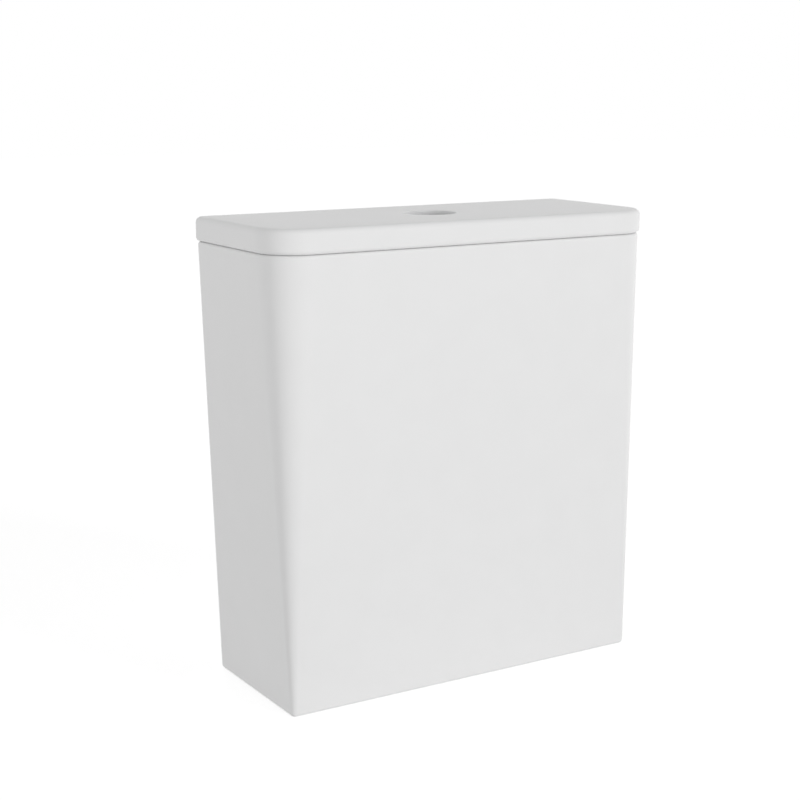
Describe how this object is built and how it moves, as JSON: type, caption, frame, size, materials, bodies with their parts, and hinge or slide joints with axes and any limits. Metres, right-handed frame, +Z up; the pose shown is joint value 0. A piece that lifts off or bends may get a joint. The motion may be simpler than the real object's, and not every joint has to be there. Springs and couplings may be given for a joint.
{
  "type": "toilet cistern",
  "caption": "Tapered white ceramic close-coupled cistern with lift-off lid, recessed dual-flush buttons in a round lid hole, drop flush valve and float-operated fill valve.",
  "frame": {"origin": "on the standing surface, under the centre of the part's bounding box; the flush outlet's axis passes through it", "axes": "+X to the right seen from the front, +Y to the back towards the wall, +Z up"},
  "size_m": [0.363, 0.145, 0.387],
  "materials": {
    "ceramic": "glossy white vitreous glaze",
    "rubber": "matt black moulded rubber",
    "white_plastic": "white moulded plastic",
    "pale_plastic": "pale natural plastic",
    "grey_plastic": "light grey moulded plastic",
    "blue_plastic": "blue moulded plastic",
    "green_plastic": "green moulded plastic",
    "black_plastic": "black moulded plastic",
    "chrome": "polished chrome plate",
    "steel": "bright stainless steel",
    "brass": "plain turned brass"
  },
  "bodies": {
    "cistern": {"tank": "ceramic", "valve_base": "white_plastic", "base_gasket": "rubber", "outlet_washer": "rubber", "outlet_backnut": "white_plastic", "coupling_seal": "rubber", "valve_housing": "pale_plastic", "valve_tower": "white_plastic", "rocker_pins": "steel", "button_carrier": "grey_plastic", "full_spring": "steel", "half_spring": "steel", "pan_bolts": "brass", "bolt_cone_washers": "rubber", "bolt_plate_washers": "steel", "bolt_nuts": "brass", "fill_shank": "white_plastic", "fill_sleeve": "grey_plastic", "fill_gasket": "rubber", "fill_backnut": "white_plastic", "inlet_filter": "blue_plastic", "fill_head": "white_plastic", "diaphragm": "rubber", "fill_cap": "grey_plastic", "lever_pin": "steel"},
    "lid": {"lid": "ceramic", "lid_pads": "rubber"},
    "lift_tube": {"overflow_tube": "grey_plastic", "flush_seal": "rubber", "seal_retainer": "white_plastic", "full_float": "pale_plastic", "lift_hanger": "blue_plastic"},
    "half_lifter": {"half_float": "pale_plastic", "half_lift_rod": "green_plastic"},
    "full_rocker": {"full_rocker": "blue_plastic"},
    "half_rocker": {"half_rocker": "green_plastic"},
    "full_button": {"full_button": "chrome", "full_push_rod": "blue_plastic"},
    "half_button": {"half_button": "chrome", "half_push_rod": "green_plastic"},
    "fill_float": {"float_cup": "black_plastic", "link_rod": "brass", "level_nuts": "white_plastic"},
    "fill_lever": {"fill_lever": "white_plastic", "lever_pad": "rubber"}
  },
  "joints": [
    {"name": "lid_lift", "type": "slide", "parent": "cistern", "child": "lid", "axis": [0, 0, 1], "range_m": [0, 0.12]},
    {"name": "full_press", "type": "slide", "parent": "cistern", "child": "full_button", "axis": [0, 0, -1], "range_m": [0, 0.008], "stiffness_N_per_m": 300, "springref_m": -0.006, "deforming": ["full_spring"]},
    {"name": "half_press", "type": "slide", "parent": "cistern", "child": "half_button", "axis": [0, 0, -1], "range_m": [0, 0.008], "stiffness_N_per_m": 300, "springref_m": -0.006, "deforming": ["half_spring"]},
    {"name": "full_rocker_tilt", "type": "hinge", "parent": "cistern", "child": "full_rocker", "pos_m": [-0.016, -0.006, 0.318], "axis": [0, 1, 0], "range_deg": [0, 19.06]},
    {"name": "valve_lift", "type": "slide", "parent": "cistern", "child": "lift_tube", "axis": [0, 0, 1], "range_m": [0, 0.00914]},
    {"name": "half_rocker_tilt", "type": "hinge", "parent": "cistern", "child": "half_rocker", "pos_m": [0.016, 0.006, 0.318], "axis": [0, -1, 0], "range_deg": [0, 19.06]},
    {"name": "half_lift", "type": "slide", "parent": "cistern", "child": "half_lifter", "axis": [0, 0, 1], "range_m": [0, 0.00914]},
    {"name": "float_rise", "type": "slide", "parent": "cistern", "child": "fill_float", "axis": [0, 0, 1], "range_m": [0, 0.01042]},
    {"name": "fill_lever_tilt", "type": "hinge", "parent": "cistern", "child": "fill_lever", "pos_m": [0.112, 0, 0.33043], "axis": [0, 1, 0], "range_deg": [0, 20.01]}
  ],
  "couplings": [
    {"joint": "full_rocker_tilt", "follows": "full_press", "rad_per_m": 41.579},
    {"joint": "valve_lift", "follows": "full_press", "ratio": 1.1429},
    {"joint": "half_rocker_tilt", "follows": "half_press", "rad_per_m": 41.579},
    {"joint": "half_lift", "follows": "half_press", "ratio": 1.1429},
    {"joint": "fill_lever_tilt", "follows": "float_rise", "rad_per_m": 33.503}
  ]
}
